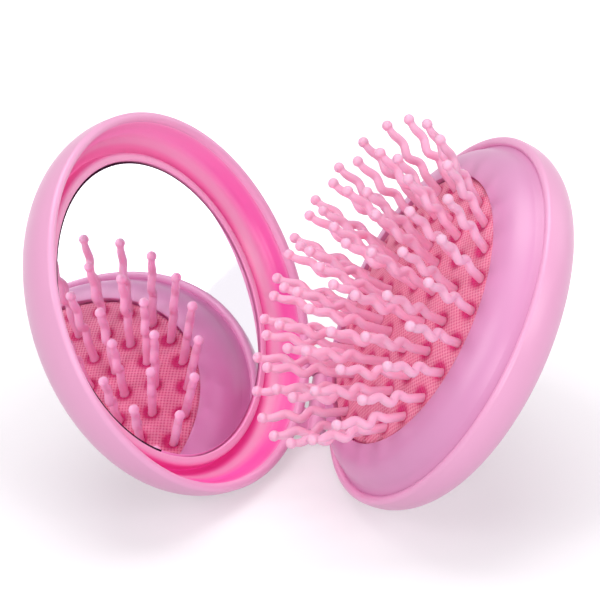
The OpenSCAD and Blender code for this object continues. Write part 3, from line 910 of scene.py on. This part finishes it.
def pin_spine(pin_l, pin_r, ball_r):
    """Centre line and radius of one pin: straight at its root, then wavy, with a ball end."""
    at, by = np.array(BEND_AT) * pin_l, np.array(BEND_BY)
    ball = np.arange(150, -1, -15)
    z_ball = pin_l + ball_r * np.cos(np.radians(ball))
    z = np.concatenate([ROOT_POINTS, np.linspace(0, z_ball[0] - 0.3, 30), z_ball])
    k = np.clip(np.searchsorted(at, z) - 1, 0, len(at) - 2)
    ease = np.clip((z - at[k]) / (at[k + 1] - at[k]), 0, 1)
    x = by[k] + (by[k + 1] - by[k]) * (1 - np.cos(math.pi * ease)) / 2
    girth = np.full(len(z), pin_r)
    girth[:len(ROOT_GIRTH)] = pin_r * np.array(ROOT_GIRTH)
    girth[-len(ball):] = np.maximum(ball_r * np.sin(np.radians(ball)), 0.02)
    # The neck's last point is the ball's first
    neck_end = len(z) - len(ball) + 1
    girth[neck_end - len(NECK_GIRTH):neck_end] = pin_r * np.array(NECK_GIRTH)
    return np.stack([x, np.zeros_like(x), z], 1), girth


def ring_of_pins(name, ring, first, count, finish):
    """A stretch of a ring: count pins from the one numbered first."""
    s = sizes()
    points, girth = pin_spine(s.pin_length / MM, s.pin_radius / MM, s.ball_radius / MM)
    obj = line_object(name, points)
    mark(obj.data, "girth", girth)
    mark(obj.data, "height", np.linspace(0, 1, len(points)))
    reach = ring * RING_PITCH
    grown(obj, tree_once("Ring of pins", pin_ring_tree), Pins=count,
          Pins_in_full_ring=RING_COUNT[ring], First_pin=first + RING_START[ring], Ring_radius=reach,
          Root_height=root_z(reach), Lean=math.radians(reach * LEAN_PER_MM), Material=finish)
    return finish_mesh(obj, IN_BASE, 60.0)


class HAIRBRUSH_OT_pins(bpy.types.Operator):
    """Build the rings of wavy pins"""
    bl_idname = "hairbrush.pins"
    bl_label = "Pins"

    def execute(self, context):
        c = colours()
        finish = milky_nylon("milky nylon", c.pins, c.tips)
        names = ("pins_centre", "pins_first", "pins_second", "pins_third")
        nodes = ("pin_middle", "pins_ring_1", "pins_ring_2", "pins_ring_3", "pins_ring_4")
        for ring, name in enumerate(names):
            obj = ring_of_pins(name, ring, 0, RING_COUNT[ring], finish)
            settle(obj, "bed", nodes[ring])
            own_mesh(obj)
        # The outer ring is pressed along its pins' own lean, so it is made in stretches
        ring = len(names)
        total, first = RING_COUNT[ring], 0
        for k in range(OUTER_PIECES):
            end = round(total * (k + 1) / OUTER_PIECES)
            count = end - first
            obj = ring_of_pins(f"pins_outer_{k + 1}", ring, first, count, finish)
            settle(obj, "bed", nodes[ring])
            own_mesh(obj)
            first = end
        return {"FINISHED"}


# ---- The CAD nodes that stay in sight ----

class HAIRBRUSH_OT_fittings(bpy.types.Operator):
    """Finish the small fittings that keep the frame's own solids"""
    bl_idname = "hairbrush.fittings"
    bl_label = "Fittings"

    def execute(self, context):
        finishes = {
            "mirror_tape": soft_dark("foam tape", (0.09, 0.09, 0.10), 2500.0, 0.05),
            "rubber_ring": soft_dark("black rubber", (0.02, 0.02, 0.022), 1200.0, 0.01),
            "hinge_pin": steel("drawn steel"),
            "sleeve_screws": steel("drawn steel"),
            "button_screw": steel("drawn steel"),
            "guide_sleeve": inner_finish(),
            "bed_carrier": inner_finish(),
            "clamp_ring": inner_finish(),
            "thumb_button": moulded("button plastic", colours().bowl, 0.35),
        }
        for node, finish in finishes.items():
            obj = frame["nodes"][node]
            obj.data.materials.clear()
            obj.data.materials.append(finish)
        return {"FINISHED"}


# ---- The studio ----

LOOK_Z = 40.0                  # height of the point the lamps and the camera face, in millimetres
# Name, place and width in metres, and power in watts
LAMPS = (
    ("Overhead softbox", (-0.1, 0.25, 1.1), 0.9, 6.5),
    ("High front softbox", (0.0, -0.5, 1.1), 0.7, 1.4),
    ("Left softbox", (-0.9, -0.7, 0.75), 0.7, 4.3),
    ("Right softbox", (0.9, -0.55, 0.6), 0.7, 4.2),
    ("Right rim softbox", (0.9, 0.6, 0.5), 0.7, 1.2),
    ("Front fill", (0.15, -1.3, 0.45), 0.7, 6.2),
)
WORLD_LEVEL = 0.10
FLOOR_HALF = 6.0
FLOOR_LIFT, GLOW_LIFT = 0.41, 0.85
# Past this ellipse on the floor (middle, half axes, in metres) the backdrop fades to white
GLOW_MIDDLE, GLOW_AXES = (0.0, 0.005, 0.0), (0.070, 0.045, 1.0)
GLOW_START, GLOW_END = 1.0, 2.2
# The camera's angles in degrees, its shifts and distance in millimetres
AZIMUTH, ELEVATION, ROLL = 8.90, 29.12, -1.46
ACROSS, UP, AWAY = -1.46, 1.56, 1003.03
FOCAL, PICTURE = 4655.65, 600.0            # in pixels
SENSOR = 36.0


def lamp(name, at, width, power):
    """A round soft lamp that faces the object."""
    data = bpy.data.lights.new(name, "AREA")
    data.shape = "DISK"
    data.size = width
    data.energy = power
    obj = linked(name, data)
    obj.location = at
    aim = Vector((0, 0, LOOK_Z * MM)) - Vector(at)
    obj.rotation_euler = aim.to_track_quat("-Z", "Y").to_euler()


def seen_share(net):
    """1 for camera, mirror-like and see-through rays, 0 for the light that falls on things."""
    path = net.node("ShaderNodeLightPath")
    total = net.maths("ADD", path["Is Camera Ray"], path["Is Glossy Ray"])
    return net.maths("ADD", total, path["Is Transmission Ray"], clamp=True)


def white_world(scene):
    """A world that is white to look at and lights things only a little."""
    world = bpy.data.worlds.new("Studio white")
    world.use_nodes = True
    scene.world = world
    net = Net(world.node_tree)
    net.feed(world.node_tree.nodes["Background"], {
        "Color": (1, 1, 1, 1),
        "Strength": net.ranged(seen_share(net), WORLD_LEVEL, 1.0, 0.0, 1.0),
    })


def white_floor():
    """A floor that keeps the object's shadow and glows up to white away from it."""
    s = FLOOR_HALF
    mesh = bpy.data.meshes.new("studio_floor")
    mesh.from_pydata([(-s, -s, 0), (s, -s, 0), (s, s, 0), (-s, s, 0)], [], [(0, 1, 2, 3)])
    mat, net, shader = new_finish("floor white")
    place = net.place()
    inside = net.node("ShaderNodeMapping", {"Vector": place, "Location": GLOW_MIDDLE, "Scale": GLOW_AXES},
                      vector_type="TEXTURE")[0]
    reach = net.node("ShaderNodeVectorMath", {0: inside}, operation="LENGTH")["Value"]
    lift = net.ranged(reach, FLOOR_LIFT, GLOW_LIFT, GLOW_START, GLOW_END)
    net.feed(shader, {
        "Base Color": net.varied(place, colours().floor, spread=0.004, scale=3.0),
        "Roughness": 0.9,
        "Specular IOR Level": 0.0,
        "Emission Color": (1, 0.985, 1, 1),
        "Emission Strength": net.maths("MULTIPLY", seen_share(net), lift),
    })
    mesh.materials.append(mat)
    linked("studio_floor", mesh)


def studio_camera(scene):
    """The camera: turned about the look point, rolled, then shifted in its own picture plane."""
    az, el, roll = (math.radians(a) for a in (AZIMUTH, ELEVATION, ROLL))
    ahead = Vector((-math.sin(az) * math.cos(el), math.cos(az) * math.cos(el), -math.sin(el)))
    side = Vector((math.cos(az), math.sin(az), 0))
    top = side.cross(ahead)
    right = side * math.cos(roll) + top * math.sin(roll)
    above = -side * math.sin(roll) + top * math.cos(roll)
    data = bpy.data.cameras.new("Camera")
    data.sensor_width = SENSOR
    data.lens = FOCAL * SENSOR / PICTURE
    data.clip_start = 0.05
    camera = linked("Camera", data)
    at = Vector((0, 0, LOOK_Z)) + right * ACROSS + above * UP - ahead * AWAY
    camera.matrix_world = (Matrix.Translation(at * MM)
                           @ Matrix((right, above, -ahead)).transposed().to_4x4())
    scene.camera = camera


class HAIRBRUSH_OT_studio(bpy.types.Operator):
    """Build the floor, the soft lamps, the world and the camera"""
    bl_idname = "hairbrush.studio"
    bl_label = "Studio"

    def execute(self, context):
        white_world(context.scene)
        white_floor()
        for facts in LAMPS:
            lamp(*facts)
        studio_camera(context.scene)
        context.scene.view_settings.view_transform = "Standard"
        return {"FINISHED"}


# ---- The add-on ----

class HAIRBRUSH_PT_panel(bpy.types.Panel):
    """The hairbrush's sizes, colours and steps"""
    bl_label = "Hairbrush"
    bl_idname = "HAIRBRUSH_PT_panel"
    bl_space_type = "VIEW_3D"
    bl_region_type = "UI"
    bl_category = "Hairbrush"

    def draw(self, context):
        for group in (context.scene.hairbrush_sizes, context.scene.hairbrush_colours):
            for key in type(group).__annotations__:
                self.layout.prop(group, key)
        for step in STEPS:
            self.layout.operator(step.bl_idname)


STEPS = (HAIRBRUSH_OT_studio, HAIRBRUSH_OT_lid, HAIRBRUSH_OT_mirror, HAIRBRUSH_OT_base,
         HAIRBRUSH_OT_collar, HAIRBRUSH_OT_cushion, HAIRBRUSH_OT_pins, HAIRBRUSH_OT_fittings)
CLASSES = (HairbrushSizes, HairbrushColours, *STEPS, HAIRBRUSH_PT_panel)


def register():
    for cls in CLASSES:
        bpy.utils.register_class(cls)
    bpy.types.Scene.hairbrush_sizes = bpy.props.PointerProperty(type=HairbrushSizes)
    bpy.types.Scene.hairbrush_colours = bpy.props.PointerProperty(type=HairbrushColours)


def unregister():
    del bpy.types.Scene.hairbrush_sizes
    del bpy.types.Scene.hairbrush_colours
    for cls in reversed(CLASSES):
        bpy.utils.unregister_class(cls)


def main():
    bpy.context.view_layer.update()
    register()
    bpy.ops.hairbrush.studio()
    bpy.ops.hairbrush.lid()
    bpy.ops.hairbrush.mirror()
    bpy.ops.hairbrush.base()
    bpy.ops.hairbrush.collar()
    bpy.ops.hairbrush.cushion()
    bpy.ops.hairbrush.pins()
    bpy.ops.hairbrush.fittings()


if __name__ == "__main__":
    main()
